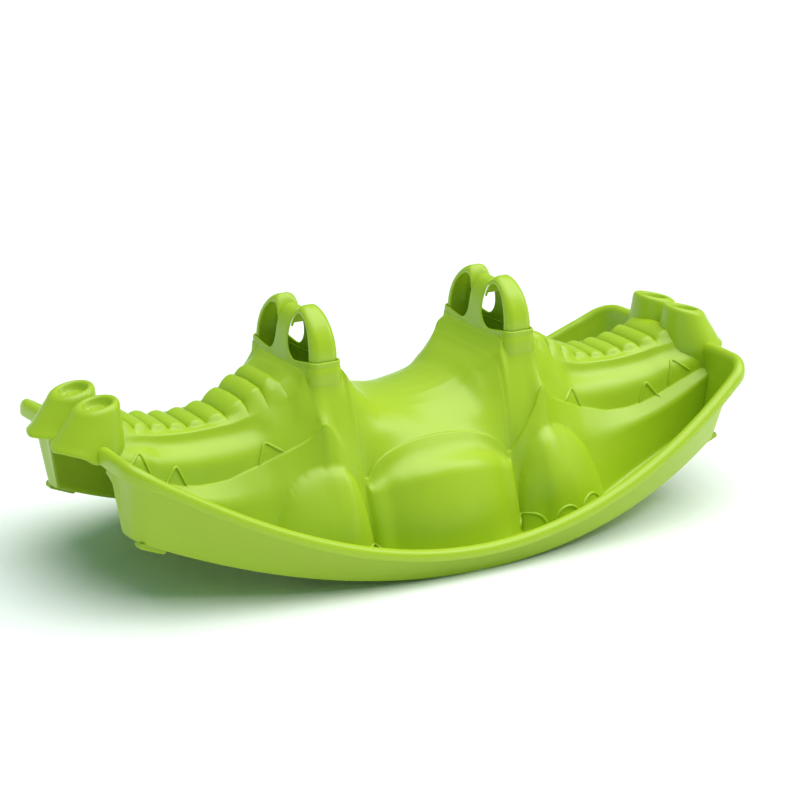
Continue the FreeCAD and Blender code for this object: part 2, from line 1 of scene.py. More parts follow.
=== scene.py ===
"""Crocodile rocker for two: looks of the moulded body, its eye hoops, end stops and screws."""
import math

import bmesh
import bpy
import numpy as np
from mathutils import Matrix, Vector


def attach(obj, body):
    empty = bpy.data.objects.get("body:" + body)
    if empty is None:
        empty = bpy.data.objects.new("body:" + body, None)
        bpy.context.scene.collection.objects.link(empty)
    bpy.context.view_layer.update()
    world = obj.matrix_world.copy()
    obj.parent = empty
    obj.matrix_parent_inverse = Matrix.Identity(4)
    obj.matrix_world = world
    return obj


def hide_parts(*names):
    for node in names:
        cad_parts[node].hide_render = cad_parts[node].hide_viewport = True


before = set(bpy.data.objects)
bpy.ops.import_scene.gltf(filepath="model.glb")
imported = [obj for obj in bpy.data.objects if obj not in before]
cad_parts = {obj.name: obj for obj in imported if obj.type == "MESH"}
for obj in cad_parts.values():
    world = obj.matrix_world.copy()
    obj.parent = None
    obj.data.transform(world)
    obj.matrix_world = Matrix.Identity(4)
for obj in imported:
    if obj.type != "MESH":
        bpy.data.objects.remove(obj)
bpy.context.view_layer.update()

MM = 0.001


# --- Body: the moulded sheet ------------------------------------------------------------
# One hollow moulding of lime polypropylene, about 3 mm thick and open underneath. Snouts,
# back, legs, jaws and foot troughs are one sheet that is pressed over a single core.
WALL = 3.0

# Each row holds one cross-section: its place along X, the crest height, then (across, up) of
# top edge, top foot, plateau crease, hollow, cheek, step line, ledge and wall, and the foot.
SECTIONS = [
    (0, 191, 20, 190, 40, 186, 60, 180, 76, 173, 94, 164, 110, 154, 155, 123, 176, 62, 187),
    (40, 195, 20, 194, 40, 191, 60, 184, 76, 178, 94, 166, 110, 151, 151, 120, 172, 60, 183),
    (70, 205, 20, 204, 40, 201, 60, 194, 76, 185, 96, 168, 111, 143, 142, 112, 163, 57, 174),
    (90, 219, 20, 219, 40, 218, 60, 213, 80, 199, 99, 167, 112, 133, 133, 104, 153, 54, 163),
    (104, 229, 22, 229, 44, 229, 67, 226, 85, 207, 102, 165, 113, 120, 130, 99, 150, 51, 160),
    (109, 234, 23, 234, 46, 234, 70, 231, 87, 210, 103, 164, 114, 112, 128, 97, 147, 50, 156),
    (111.5, 236, 23, 236, 47, 236, 72, 233, 88, 211, 104, 163, 114, 112, 125, 97, 143, 50, 151),
    (114, 239, 24, 239, 48, 239, 74, 236, 88, 212, 104, 163, 114, 113, 121, 98, 139, 50, 147),
    (119, 245, 25, 245, 51, 245, 78, 242, 90, 214, 105, 164, 115, 119, 122, 101, 137, 52, 145),
    (126, 254, 25, 254, 52, 254, 70, 253, 88, 218, 105, 167, 116, 130, 125, 106, 138, 56, 145),
    (140, 256, 25, 256, 52, 256, 80, 257, 86, 224, 104, 175, 114, 150, 129, 119, 139, 62, 144),
    (151, 256, 25, 256, 52, 256, 80.5, 258, 85.5, 226, 101, 184, 111, 167, 130, 130, 143, 65, 148),
    (163, 256, 25, 256, 52, 256, 80, 258, 85.5, 226, 98, 200, 106, 188, 127, 135, 144, 67, 150),
    (170, 255, 25, 255, 52, 255, 76, 256, 85.5, 222, 96, 204, 104, 193, 125, 135, 144, 67, 150),
    (176, 253, 25, 253, 50, 253, 67, 250, 84.5, 218, 94, 199, 101, 187, 123, 133, 144, 66, 150),
    (186, 247, 24, 247, 48, 244, 69, 233, 82, 212, 90, 192, 99, 175, 120, 129, 144, 63, 150),
    (200, 242, 25, 242, 46, 236, 64, 220, 76, 203, 86, 183, 95, 166, 117, 125, 142, 60, 149),
    (222, 234, 34, 232, 44, 221, 56, 208, 70, 192, 82, 172, 89, 156, 114, 118, 138, 57, 146),
    (247, 221, 32, 219, 40, 210, 51, 199, 57, 184, 76, 166, 83, 145, 108, 112, 131, 58, 139),
    (274, 206, 30, 204, 36, 198, 48, 193, 53, 179, 74, 163, 81, 137, 104, 108, 122, 62, 129),
    (300, 199, 28, 198, 34, 193, 46, 191, 51, 178, 73, 161, 80, 130, 101, 108, 115, 68, 120),
    (327, 197, 28, 196, 33, 191.5, 45, 190, 50, 177, 72, 161, 79, 129, 99, 112, 109, 74, 112),
    (354, 200, 28, 199, 34, 193.5, 45, 191, 50, 178, 72, 164, 79, 132, 97, 117, 104, 80, 106),
    (381, 204, 30, 203, 36, 197.5, 46, 194, 51, 181, 72, 168, 79, 139, 96, 124, 100, 86, 101),
    (405, 211, 34, 210, 41, 203.5, 49, 199, 54, 187, 73, 176, 79, 148, 95, 133, 98, 94, 98),
    (430, 219, 40, 217, 47, 210, 55, 204, 62, 193, 76, 180, 79, 160, 94, 148, 96, 104, 96),
    (449, 222, 44, 219, 51, 214, 62, 207, 65, 200, 76, 185, 79, 168, 92, 160, 94, 112, 94),
]
SECTION_ROUND = [3.5, 1.5, 2.0, 14.0, 14.0, 1.6, 1.6, 10.0, 12.0, 30.0, 6.0]
RUNNER_RADIUS = 1162.0
TROUGH_END = 449.0
HALF_WIDTH = 243.5
HANDLE_X = 150.5


def eased_rows(places, rows, wanted):
    """Smooth curves through the rows, level at each high and low so that nothing overshoots."""
    places = np.asarray(places, float)
    rows = np.asarray(rows, float)
    run = np.diff(places)[:, None]
    slope = np.diff(rows, axis=0) / run
    tangent = np.zeros_like(rows)
    same = slope[1:] * slope[:-1] > 0
    near, far = 2 * run[1:] + run[:-1], run[1:] + 2 * run[:-1]
    with np.errstate(divide="ignore", invalid="ignore"):
        mean = (near + far) / (near / slope[:-1] + far / slope[1:])
    tangent[1:-1] = np.where(same, mean, 0)
    tangent[-1] = slope[-1]
    wanted = np.asarray(wanted, float)
    k = np.clip(np.searchsorted(places, wanted, side="right") - 1, 0, len(places) - 2)
    step = run[k]
    t = ((wanted - places[k])[:, None]) / step
    return ((2 * t ** 3 - 3 * t ** 2 + 1) * rows[k] + (t ** 3 - 2 * t ** 2 + t) * step * tangent[k]
            + (3 * t ** 2 - 2 * t ** 3) * rows[k + 1] + (t ** 3 - t ** 2) * step * tangent[k + 1])


def rounded_line(corners, rounds, runs, bend_steps=5):
    """Line through corners with rounded bends: runs[i] points along each straight stretch."""
    corners = np.asarray(corners, float)
    points = [corners[0]]
    for i in range(1, len(corners) - 1):
        back, ahead = corners[i - 1] - corners[i], corners[i + 1] - corners[i]
        cut = min(rounds[i - 1], 0.48 * np.linalg.norm(back), 0.48 * np.linalg.norm(ahead))
        start = corners[i] + back * cut / max(np.linalg.norm(back), 1e-9)
        stop = corners[i] + ahead * cut / max(np.linalg.norm(ahead), 1e-9)
        for n in range(1, runs[i - 1] + 1):
            points.append(points[-1] + (start - points[-1]) / (runs[i - 1] + 1 - n))
        for n in range(1, bend_steps + 1):
            t = n / bend_steps
            points.append((1 - t) ** 2 * start + 2 * t * (1 - t) * corners[i] + t * t * stop)
    last = points[-1]
    for n in range(1, runs[-1] + 1):
        points.append(last + (corners[-1] - last) * n / runs[-1])
    return np.array(points)


def runner_z(x):
    return RUNNER_RADIUS - math.sqrt(RUNNER_RADIUS ** 2 - x * x)


CORNER_START = 430.0
CORNER_FOOT = TROUGH_END - CORNER_START
EDGE_AT_MIDDLE = 224.5
EDGE_TAPER = 90.0


def runner_edge(x):
    """Edge of the runner at x, with the rounded corner of the trough."""
    into = max(x - CORNER_START, 0.0) / CORNER_FOOT
    rounding = CORNER_FOOT * (1 - math.sqrt(max(1 - into * into, 0)))
    return EDGE_AT_MIDDLE - EDGE_TAPER * (x / TROUGH_END) ** 2 - rounding


# Scutes: half-round ribs across each snout, between these valleys.
SCUTE_VALLEYS = [200.0, 222.6, 247.5, 274.0, 300.8, 327.0, 354.6, 381.5, 405.0, 429.0]
SCUTE_RISE = 9.5
VALLEY_DEPTH = 7.0


def scute(x):
    """Swell of the ribs at x: 0 in a valley, 1 on a crown."""
    for low, high in zip(SCUTE_VALLEYS, SCUTE_VALLEYS[1:]):
        if low <= x <= high:
            across = 2 * (x - low) / (high - low) - 1
            return math.sqrt(max(0.0, 1 - across * across))
    return 0.0


# Stations along X: closer together over the collar faces and in every rib.
stations = list(np.arange(0, 84, 4.0)) + list(np.arange(84, 130, 1.5)) + list(np.arange(130, 172, 3.5))
stations += list(np.arange(172, 200, 1.75))
for low, high in zip(SCUTE_VALLEYS, SCUTE_VALLEYS[1:]):
    stations += [low + (high - low) * (1 - math.cos(math.pi * n / 11)) / 2 for n in range(11)]
CORNER_STEPS = 10
stations += [CORNER_START + CORNER_FOOT * math.sin(math.pi / 2 * n / CORNER_STEPS)
             for n in range(CORNER_STEPS + 1)]
section_rows = eased_rows([row[0] for row in SECTIONS], [row[1:] for row in SECTIONS], stations)

LEG_CENTRE = 168.0
LEG_HEIGHT = 139.0
LEG_DEPTH = 26.0
LEG_HALF_INWARD = 54.0
LEG_HALF_OUTWARD = 88.0
LEG_POWER = 2.2

# Points along each straight stretch of a cross-section, and along the floor of the trough.
RUNS = [7, 3, 5, 5, 6, 6, 2, 5, 6, 11, 10, 8]
FLOOR_POINTS = 8


def leg_bulge(x, z):
    """How far the domed leg stands out of the wall behind it."""
    half = LEG_HALF_INWARD if x < LEG_CENTRE else LEG_HALF_OUTWARD
    reach = 1 - abs((x - LEG_CENTRE) / half) ** LEG_POWER - max(z / LEG_HEIGHT, 0) ** LEG_POWER
    return LEG_DEPTH * math.sqrt(max(reach, 0.0))


# The step line stands proud of the jaw and lifts a little by the legs, and the ledge of the
# belly panel sags behind it. Each pair holds places along X and the amount at each place.
RIB_FADE = ([188, 200, 429, 440], [0, 1, 1, 0.3])
STEP_PROUD = ([0, 104, 113, 130, 172, 190, 240, 449], [2.4, 2.4, 4, 5, 5, 3.5, 2.4, 2.2])
STEP_LIFT = ([0, 104, 130, 172, 190, 449], [0.2, 0.2, 1.0, 1.0, 0.3, -0.3])
LEDGE_SAG = ([0, 104, 113, 449], [8.0, 7.0, 0.0, 0.0])
RIB_SPREAD = 5.0
RIB_PINCH = 2.0

sheet = []
for x, row in zip(stations, section_rows):
    crest = row[0]
    top, foot, crease, hollow, cheek, step, ledge, wall = row[1:17].reshape(8, 2)
    swell = scute(x)
    cut = np.interp(x, *RIB_FADE)
    rise = cut * (SCUTE_RISE * swell - VALLEY_DEPTH)
    crest += rise
    spread = cut * (RIB_SPREAD * swell - RIB_PINCH)
    top = top + np.array([spread, rise])
    foot = foot + np.array([spread, 0])
    shelf = step + np.array([np.interp(x, *STEP_PROUD), np.interp(x, *STEP_LIFT)])
    sag = np.interp(x, *LEDGE_SAG)
    dip = shelf + 0.42 * (ledge - shelf) + np.array([-0.35 * sag, -0.8 * sag])
    floor = runner_z(x) + WALL
    edge = runner_edge(x) - WALL
    corners = [(0, crest), top, foot, crease, hollow, cheek, step, shelf, dip, ledge, wall,
               (row[17], floor), (edge, floor)]
    line = rounded_line(corners, SECTION_ROUND, RUNS)
    for point in line[:-FLOOR_POINTS]:
        point[0] += leg_bulge(x, point[1])
    start = line[-FLOOR_POINTS - 1, 0]
    for n in range(1, FLOOR_POINTS + 1):
        line[n - FLOOR_POINTS - 1] = (start + (edge - start) * n / FLOOR_POINTS, floor)
    sheet.append([(x, y, z) for y, z in line])
sheet = np.array(sheet)

# The end walls of the troughs are drafted, so the sheet runs out further the higher it is.
DRAFT_START = 400.0
DRAFT_FOOT = 90.0
END_DRAFT = 0.18
share = np.clip((sheet[:, :, 0] - DRAFT_START) / (TROUGH_END - DRAFT_START), 0, 1)
sheet[:, :, 0] += share * np.maximum(sheet[:, :, 2] - DRAFT_FOOT, 0) * END_DRAFT


# --- Body: rolled rim --------------------------------------------------------------------
# The edge of the same moulding turns out and down in a roll, all round both troughs, and
# stiffens it. At each end it climbs from the corner of the trough to the nostril cups.
RIM_WIDTH = 17.0
RIM_REACH = 466.0
RIM_TAPER = (52.9, 19.8)
LIP_AT_MIDDLE = 28.9
LIP_CLIMB = (171.6, 19.2)


def rim_outer(x):
    """How far out the roll reaches at x."""
    share = x / RIM_REACH
    return HALF_WIDTH - RIM_TAPER[0] * share ** 2 - RIM_TAPER[1] * share ** 4


def rim_lip(x):
    """Height of the roll's lower lip at x."""
    share = x / RIM_REACH
    return LIP_AT_MIDDLE + LIP_CLIMB[0] * share ** 2 - LIP_CLIMB[1] * share ** 4


def rim_profile(bottom, inner, outer, lip, height):
    """Wall up from the floor, then the roll over to its lip, height below its top."""
    bottom, inner, outer = (np.asarray(p, float) for p in (bottom, inner, outer))
    top = lip + height
    drop = 0.6 * height
    wall_top = np.array([inner[0], inner[1], top - drop])
    points = [bottom]
    bend = bottom + (wall_top - bottom) * 0.06
    for n in range(1, 10):
        points.append(bend + (wall_top - bend) * n / 9)
    across = np.array([outer[0] - inner[0], outer[1] - inner[1], 0.0])
    for n in range(1, 9):
        out = 0.5 - 0.5 * math.cos(math.pi * n / 8)
        points.append(np.array([inner[0], inner[1], 0]) + across * out
                      + np.array([0, 0, top - drop + drop * math.sin(math.pi * n / 8)]))
    outer_top = points[-1]
    for n in range(1, 4):
        points.append(outer_top + np.array([0, 0, -(height - drop) * n / 3]))
    return points


END_X = 478.0
CORNER_RIM = 45.0
CORNER_TURN = math.radians(75)
END_LIP = 182.0
MIDDLE_HEIGHT = 12.5
SIDE_HEIGHT = 14.0
CORNER_HEIGHT = 15.5
END_HEIGHT = 20.0
corner_x = END_X - CORNER_RIM
turn_x = corner_x + CORNER_RIM * math.cos(CORNER_TURN)
corner_y = rim_outer(turn_x) - CORNER_RIM * math.sin(CORNER_TURN)
straight = math.hypot(turn_x - CORNER_START, rim_outer(CORNER_START) - rim_outer(turn_x))
run_length = straight + CORNER_RIM * CORNER_TURN

rim = []
for i, x in enumerate(stations):
    height = np.interp(x, [0, 330, CORNER_START], [MIDDLE_HEIGHT, SIDE_HEIGHT, CORNER_HEIGHT])
    if x < CORNER_START:
        slope = (rim_outer(x + 1) - rim_outer(x - 1)) / 2
        facing = np.array([-slope, 1.0]) / math.hypot(slope, 1)
        outer = np.array([x, rim_outer(x)])
        lip = rim_lip(x)
    else:
        share = (i - len(stations) + 1 + CORNER_STEPS) / CORNER_STEPS
        turn = CORNER_TURN * min(1.0, (1 - share) * run_length / (CORNER_RIM * CORNER_TURN))
        facing = np.array([math.cos(turn), math.sin(turn)])
        outer = np.array([corner_x, corner_y]) + facing * CORNER_RIM
        lip = END_LIP - (END_LIP - rim_lip(turn_x)) * (turn / CORNER_TURN) ** 2.2
        if turn == CORNER_TURN:
            side_x = CORNER_START + share * run_length / straight * (turn_x - CORNER_START)
            outer = np.array([side_x, rim_outer(side_x)])
            lip = rim_lip(side_x)
        height += (END_HEIGHT - height) * share
    rim.append(rim_profile(sheet[i, -1], outer - facing * RIM_WIDTH, outer, lip, height))

# Along the end wall the roll runs in from the corner to the step line, and dies out there.
STEP_LEVEL = 172
JAW_SIDE = 78
step_column = next(j for j in range(sheet.shape[1])
                   if sheet[-1, j, 2] < STEP_LEVEL and sheet[-1, j, 1] > JAW_SIDE)
NOSE_Y = 66.0
NOSE_FADE = 0.28
for j in range(sheet.shape[1] - 2, step_column - 1, -1):
    share = (sheet.shape[1] - 1 - j) / (sheet.shape[1] - 1 - step_column)
    y = corner_y + (NOSE_Y - corner_y) * share
    nose = math.sqrt(max(1 - max(share - (1 - NOSE_FADE), 0.0) ** 2 / NOSE_FADE ** 2, 0.0))
    height = END_HEIGHT * (0.35 + 0.65 * nose)
    rim.append(rim_profile(sheet[-1, j], (END_X - RIM_WIDTH, y), (END_X, y), END_LIP + 2 * share, height))
rim = np.array(rim)


def grid_faces(rows, columns, first=0):
    """Four-sided faces of a grid of points, numbered from first."""
    return [(first + i * columns + j, first + i * columns + j + 1,
             first + (i + 1) * columns + j + 1, first + (i + 1) * columns + j)
            for i in range(rows - 1) for j in range(columns - 1)]


def quarter_copies(points):
    """The four mirror images of one quarter's points, with the ones that turn faces over."""
    for end in (1, -1):
        for side in (1, -1):
            yield points * np.array([end, side, 1.0]), end * side < 0


def new_mesh_object(name, verts, faces, weld=0.0):
    """A mesh object from points in millimetres; points closer than weld become one."""
    mesh = bpy.data.meshes.new(name)
    mesh.from_pydata([tuple(v) for v in np.asarray(verts) * MM], [], faces)
    if weld:
        work = bmesh.new()
        work.from_mesh(mesh)
        bmesh.ops.remove_doubles(work, verts=work.verts, dist=weld * MM)
        bmesh.ops.dissolve_degenerate(work, edges=work.edges, dist=weld * MM / 2)
        work.to_mesh(mesh)
        work.free()
    mesh.validate()
    item = bpy.data.objects.new(name, mesh)
    bpy.context.scene.collection.objects.link(item)
    return item


# --- Body: necks, collars and bands -------------------------------------------------------
# Each neck rises out of the back, ends in a collar round the foot of the eye hoops, and runs
# up into a band over the top between the two eyes. All of it is the same moulding.
COLLAR_X = 23.6
COLLAR_Y = 81.6
COLLAR_Z = 264.0
COLLAR_CORNER = 13.0
BAND_HALF = 13.5
BAND_FOOT = 286.0
BAND_TOP = 322.0
BAND_POWER = 2.3
SILL = 258.5
EYE_MIDDLE = 33

# Height of each ring of the neck, and how far it stands out past the collar.
NECK_LEVELS = [(206, 1.0), (214, 2.0), (221, 3.0), (229, 3.0), (238, 2.4), (247, 1.7), (256, 1.0)]


def band_depth(z):
    """Half the depth of a band at height z, from the collar to nothing at the top."""
    share = min(max((z - COLLAR_Z) / (BAND_TOP - COLLAR_Z), 0.0), 1.0)
    return COLLAR_X * (1 - share ** BAND_POWER) ** (1 / BAND_POWER)


def neck_top(y):
    """Upper edge of the neck's face at y: band, then the round lip under the eye, then collar."""
    y = abs(y)
    if y <= BAND_HALF:
        return BAND_FOOT
    if y < EYE_MIDDLE:
        share = (EYE_MIDDLE - y) / (EYE_MIDDLE - BAND_HALF)
        return SILL + (BAND_FOOT - SILL) * (1 - math.sqrt(max(0.0, 1 - share ** 2)))
    return SILL + (COLLAR_Z - SILL) * min((y - EYE_MIDDLE) / EYE_MIDDLE, 1.0) ** 1.5


def collar_plan():
    """Quarter outline of the collar, from the middle of its broad face to the end face."""
    face = [0, 3.4, 6.8, 10.1, BAND_HALF, 14.2, 15.6, 17.6, 20, 23, 26.5, 30, 33, 38, 43, 48, 53, 58, 63]
    points = [(COLLAR_X, y, 1.0, 0.0) for y in face]
    for n in range(1, 10):
        angle = math.radians(10 * n)
        points.append((COLLAR_X - COLLAR_CORNER * (1 - math.cos(angle)),
                       COLLAR_Y - COLLAR_CORNER * (1 - math.sin(angle)), math.cos(angle), math.sin(angle)))
    return points + [(x, COLLAR_Y, 0.0, 1.0) for x in (7, 3.5, 0)]


neck = []
for x, y, face_x, face_y in collar_plan():
    top = neck_top(y) if y < COLLAR_Y - COLLAR_CORNER else COLLAR_Z
    column = []
    for z, out in NECK_LEVELS:
        column.append((x + out * face_x, y + out * face_y, min(z, top - 2)))
    low = column[-1][2]
    for n in range(1, 7):
        z = low + (top - low) * n / 6
        column.append((x * band_depth(z) / COLLAR_X if z > COLLAR_Z else x, y, z))
    neck.append(column)
neck = np.array(neck)

BAND_STEPS = 26
BAND_DISH = 1.2
face_columns = [y for _, y, _, _ in collar_plan() if y <= BAND_HALF]
band = []
for y in face_columns:
    column = []
    for n in range(BAND_STEPS + 1):
        z = BAND_FOOT + (BAND_TOP - BAND_FOOT) * math.sin(math.pi / 2 * n / BAND_STEPS)
        dish = BAND_DISH * (1 - (y / BAND_HALF) ** 4) * n / BAND_STEPS
        x = band_depth(z)
        column.append((x, y, z - dish))
    band.append(column)
band = np.array(band)


# --- Body: nostril cups -------------------------------------------------------------------
# Two cups on the tip of each snout lean back over the end of the moulding. The top of each
# is pressed in to a nostril.
CUP_TOP = np.array([456.0, 34.6, 245.0])
CUP_FOOT = np.array([469.0, 34.6, 192.0])
CUP_TOP_RADIUS = 28.0
CUP_FOOT_RADIUS = 46.0
SHOULDER_DROP = 12.0
CUP_TILT = 0.2
CUP_FLARE = 2.0
FLARE_HEIGHT = 9

# Height of a cup's lip by degrees round it, 0 out along the snout. The lip is lower where it
# passes the rolled rim. Then the nostril as (radius, height past the top of the cup).
CUP_LIP = [(-180, 200), (-90, 199), (-45, 196), (0, 192), (25, 194), (50, 192.5), (60, 190.5), (70, 186),
           (78, 182), (98, 182), (106, 165), (135, 166), (160, 196), (180, 200)]
NOSTRIL_PROFILE = [(22.4, 0.3), (20.8, 0.0), (19.6, -0.9), (18.7, -2.4), (17.6, -5.0), (16.0, -8.0),
                   (14.2, -10.0), (12.2, -10.6), (10.6, -9.9), (9.8, -8.4), (8.8, -7.0), (7.4, -6.6),
                   (5.4, -7.2), (0.01, -8.4)]
CUP_COLUMNS = 48


def cup_column(angle):
    """One upright line of a cup, lip to nostril; 0 points out along the snout, 90 sideways."""
    facing = np.array([math.cos(angle), math.sin(angle), 0.0])
    degrees = (math.degrees(angle) + 180) % 360 - 180
    low = np.interp(degrees, [at for at, _ in CUP_LIP], [z for _, z in CUP_LIP])
    lean = -CUP_TILT * math.cos(angle)
    column = []
    for n in range(11):
        z = low + (CUP_TOP[2] - SHOULDER_DROP - low) * n / 10
        share = (z - CUP_FOOT[2]) / (CUP_TOP[2] - CUP_FOOT[2])
        middle = CUP_FOOT + (CUP_TOP - CUP_FOOT) * share
        flare = CUP_FLARE * max(0.0, 1 - (z - low) / FLARE_HEIGHT) ** 2
        radius = CUP_FOOT_RADIUS + (CUP_TOP_RADIUS - CUP_FOOT_RADIUS) * max(share, 0.0)
        height = z + lean * radius * max(share, 0.0) ** 1.5
        column.append(np.array([middle[0], middle[1], height]) + facing * (radius + flare))
    start = np.array([radius, -SHOULDER_DROP])
    control, stop = np.array([radius - 2.2, 0.6]), np.array(NOSTRIL_PROFILE[0])
    shoulder = [(1 - t) ** 2 * start + 2 * t * (1 - t) * control + t * t * stop
                for t in (0.15, 0.3, 0.45, 0.6, 0.75, 0.88)]
    axis_shift = middle - CUP_TOP
    for n, (radius, z) in enumerate(shoulder + NOSTRIL_PROFILE):
        settle = max(0.0, 1 - (n + 1) / len(shoulder))
        centre = CUP_TOP + np.array([axis_shift[0], axis_shift[1], 0]) * settle
        column.append(centre + facing * radius + np.array([0, 0, z + lean * radius]))
    return column


cup = np.array([cup_column(2 * math.pi * n / CUP_COLUMNS) for n in range(CUP_COLUMNS + 1)])


# --- Body: teeth and toes -----------------------------------------------------------------
# Raised beads on the moulding: three teeth along each jaw and three toes on each leg. Each
# is a half-round line that follows the skin under it.
BEAD_RADIUS = 2.1
BEAD_SWEEP = 1.3
TIP_START = 0.78

# A tooth is its foot, tip and other foot, as (x, z). A toe is (x, z, half its width).
TEETH = [((385, 137), (366, 160), (353, 130)), ((441, 165), (414, 184), (402, 150)),
         ((252, 142), (240, 171), (219, 158))]
TOES = [(124, 14, 19), (172, 19, 21), (216, 27, 20)]


def skin_at(x, z):
    """Point of the side skin at (x, z), and the way it faces."""
    row = int(np.argmin(np.abs(sheet[:, 30, 0] - x)))
    row = min(max(row, 1), len(sheet) - 2)
    near, far = (row - 1, row) if sheet[row, 30, 0] > x else (row, row + 1)
    share = (x - sheet[near, 30, 0]) / (sheet[far, 30, 0] - sheet[near, 30, 0])
    line = sheet[near] * (1 - share) + sheet[far] * share
    side = line[14:-FLOOR_POINTS, 1:]
    k = int(np.argmax(side[:, 1] < z))
    part = (side[k - 1, 1] - z) / (side[k - 1, 1] - side[k, 1])
    y = side[k - 1, 0] + (side[k, 0] - side[k - 1, 0]) * part
    along = side[k] - side[k - 1]
    facing = np.array([0, -along[1], along[0]])
    return np.array([x, y, z]), facing / np.linalg.norm(facing)


def bead(path):
    """Half-sunk round line on the skin along (x, z) points, as a quarter's grid."""
    rings = []
    spots = [skin_at(x, z) for x, z in path]
    for i, (spot, facing) in enumerate(spots):
        along = spots[min(i + 1, len(spots) - 1)][0] - spots[max(i - 1, 0)][0]
        along /= np.linalg.norm(along)
        across = np.cross(along, facing)
        fade = min(1.0, 0.25 + min(i, len(spots) - 1 - i) * 0.4)
        ring = []
        for n in range(9):
            angle = math.pi * (n / 8 * BEAD_SWEEP - (BEAD_SWEEP - 1) / 2)
            ring.append(spot + (across * math.cos(angle) + facing * math.sin(angle)) * BEAD_RADIUS * fade)
        rings.append(ring)
    return np.array(rings)


beads = []
for first, tip, last in TEETH:
    first, tip, last = (np.array(p, float) for p in (first, tip, last))
    path = [first + (tip - first) * TIP_START * n / 9 for n in range(10)]
    bend_from, bend_to = path[-1], last + (tip - last) * TIP_START
    path += [(1 - t) ** 2 * bend_from + 2 * t * (1 - t) * tip + t * t * bend_to
             for t in (0.2, 0.4, 0.6, 0.8)]
    path += [bend_to + (last - bend_to) * n / 9 for n in range(10)]
    beads.append(bead(path))
for x, z, reach in TOES:
    path = [(x + reach * math.cos(a), z + 1.1 * reach * math.sin(a))
            for a in np.linspace(math.radians(175), math.radians(5), 22)]
    beads.append(bead(path))


# --- Body: one mesh -----------------------------------------------------------------------
# The outer skin of one quarter is mirrored to the other three and welded into one sheet. The
# sheet is then given its wall, with a rounded edge wherever the moulding ends.
def thicken(item, wall):
    """Give an open sheet a wall on its inner side and round its free edges."""
    work = bmesh.new()
    work.from_mesh(item.data)
    work.normal_update()
    outer_verts = list(work.verts)
    outer_faces = list(work.faces)
    normals = [vert.normal.copy() for vert in outer_verts]
    edge_loops = [edge for edge in work.edges if len(edge.link_faces) == 1]
    inner = [work.verts.new(vert.co - normal * wall) for vert, normal in zip(outer_verts, normals)]
    work.verts.index_update()
    place = {vert: i for i, vert in enumerate(outer_verts)}
    for face in outer_faces:
        work.faces.new([inner[place[vert]] for vert in reversed(face.verts)])
    outward = {}
    for edge in edge_loops:
        face = edge.link_faces[0]
        middle = (edge.verts[0].co + edge.verts[1].co) / 2
        along = (edge.verts[1].co - edge.verts[0].co).normalized()
        away = along.cross(face.normal)
        if away.dot(middle - face.calc_center_median()) < 0:
            away = -away
        for vert in edge.verts:
            outward[vert] = outward.get(vert, Vector()) + away
    rims = {}
    for vert, away in outward.items():
        i = place[vert]
        away = away.normalized()
        rims[vert] = [work.verts.new(vert.co - normals[i] * wall * depth + away * wall * out)
                      for depth, out in ((0.15, 0.22), (0.5, 0.38), (0.85, 0.22))]
    for edge in edge_loops:
        face = edge.link_faces[0]
        loop = next(loop for loop in edge.link_loops if loop.face == face)
        first, second = loop.vert, loop.link_loop_next.vert
        left = [first] + rims[first] + [inner[place[first]]]
        right = [second] + rims[second] + [inner[place[second]]]
        for n in range(4):
            work.faces.new((left[n], left[n + 1], right[n + 1], right[n]))
    work.normal_update()
    work.to_mesh(item.data)
    work.free()


def crease(item, degrees=38.0):
    """Smooth shading, kept sharp along creases."""
    work = bmesh.new()
    work.from_mesh(item.data)
    for face in work.faces:
        face.smooth = True
    for edge in work.edges:
        edge.smooth = not edge.is_manifold or edge.calc_face_angle(0.0) < math.radians(degrees)
    work.to_mesh(item.data)
    work.free()


def add_grid(verts, faces, grid, flip=False):
    """Mirror one quarter's grid of points to all four quarters."""
    rows, columns = grid.shape[:2]
    for points, turned in quarter_copies(grid.reshape(-1, 3)):
        quads = grid_faces(rows, columns, len(verts))
        if turned != flip:
            quads = [quad[::-1] for quad in quads]
        verts.extend(points)
        faces.extend(quads)


COLLAR_CLEAR = (1.5, 1.2)
COLLAR_FLOOR = 235


def in_collar(point):
    """True inside a collar, where the sheet is open for the hoops."""
    along = abs(abs(point[0]) - HANDLE_X) < COLLAR_X - COLLAR_CLEAR[0]
    across = abs(point[1]) < COLLAR_Y - COLLAR_CLEAR[1]
    return along and across and point[2] > COLLAR_FLOOR


verts, faces = [], []
add_grid(verts, faces, sheet, flip=True)
faces = [face for face in faces if not all(in_collar(verts[i]) for i in face)]
add_grid(verts, faces, rim, flip=True)
for sense in (1, -1):
    for part in (neck, band):
        placed = part * np.array([sense, 1, 1]) + np.array([HANDLE_X, 0, 0])
        add_grid(verts, faces, placed, flip=sense > 0)
add_grid(verts, faces, cup, flip=True)
body = new_mesh_object("moulded_body", verts, faces, weld=0.05)
thicken(body, WALL * MM)
verts, faces = [], []
for grid in beads:
    add_grid(verts, faces, grid)
relief = new_mesh_object("teeth_and_toes", verts, faces)
join = bmesh.new()
join.from_mesh(body.data)
join.from_mesh(relief.data)
join.to_mesh(body.data)
join.free()
bpy.data.objects.remove(relief)
crease(body)

# Satin lime plastic, with faint flow marks and a fine moulded grain, scuffed where it rocks.
LIME = (0.405, 0.56, 0.016)
SCUFF = (0.62, 0.72, 0.36, 1)
SCUFF_HEIGHT = 0.012
FLOW_LIGHT = 1.05
FLOW_DARK = 0.955


def node(tree, kind, **inputs):
    """Add a shader node and set its unlinked inputs by name."""
    made = tree.nodes.new(kind)
    for name, value in inputs.items():
        made.inputs[name.replace("_", " ")].default_value = value
    return made


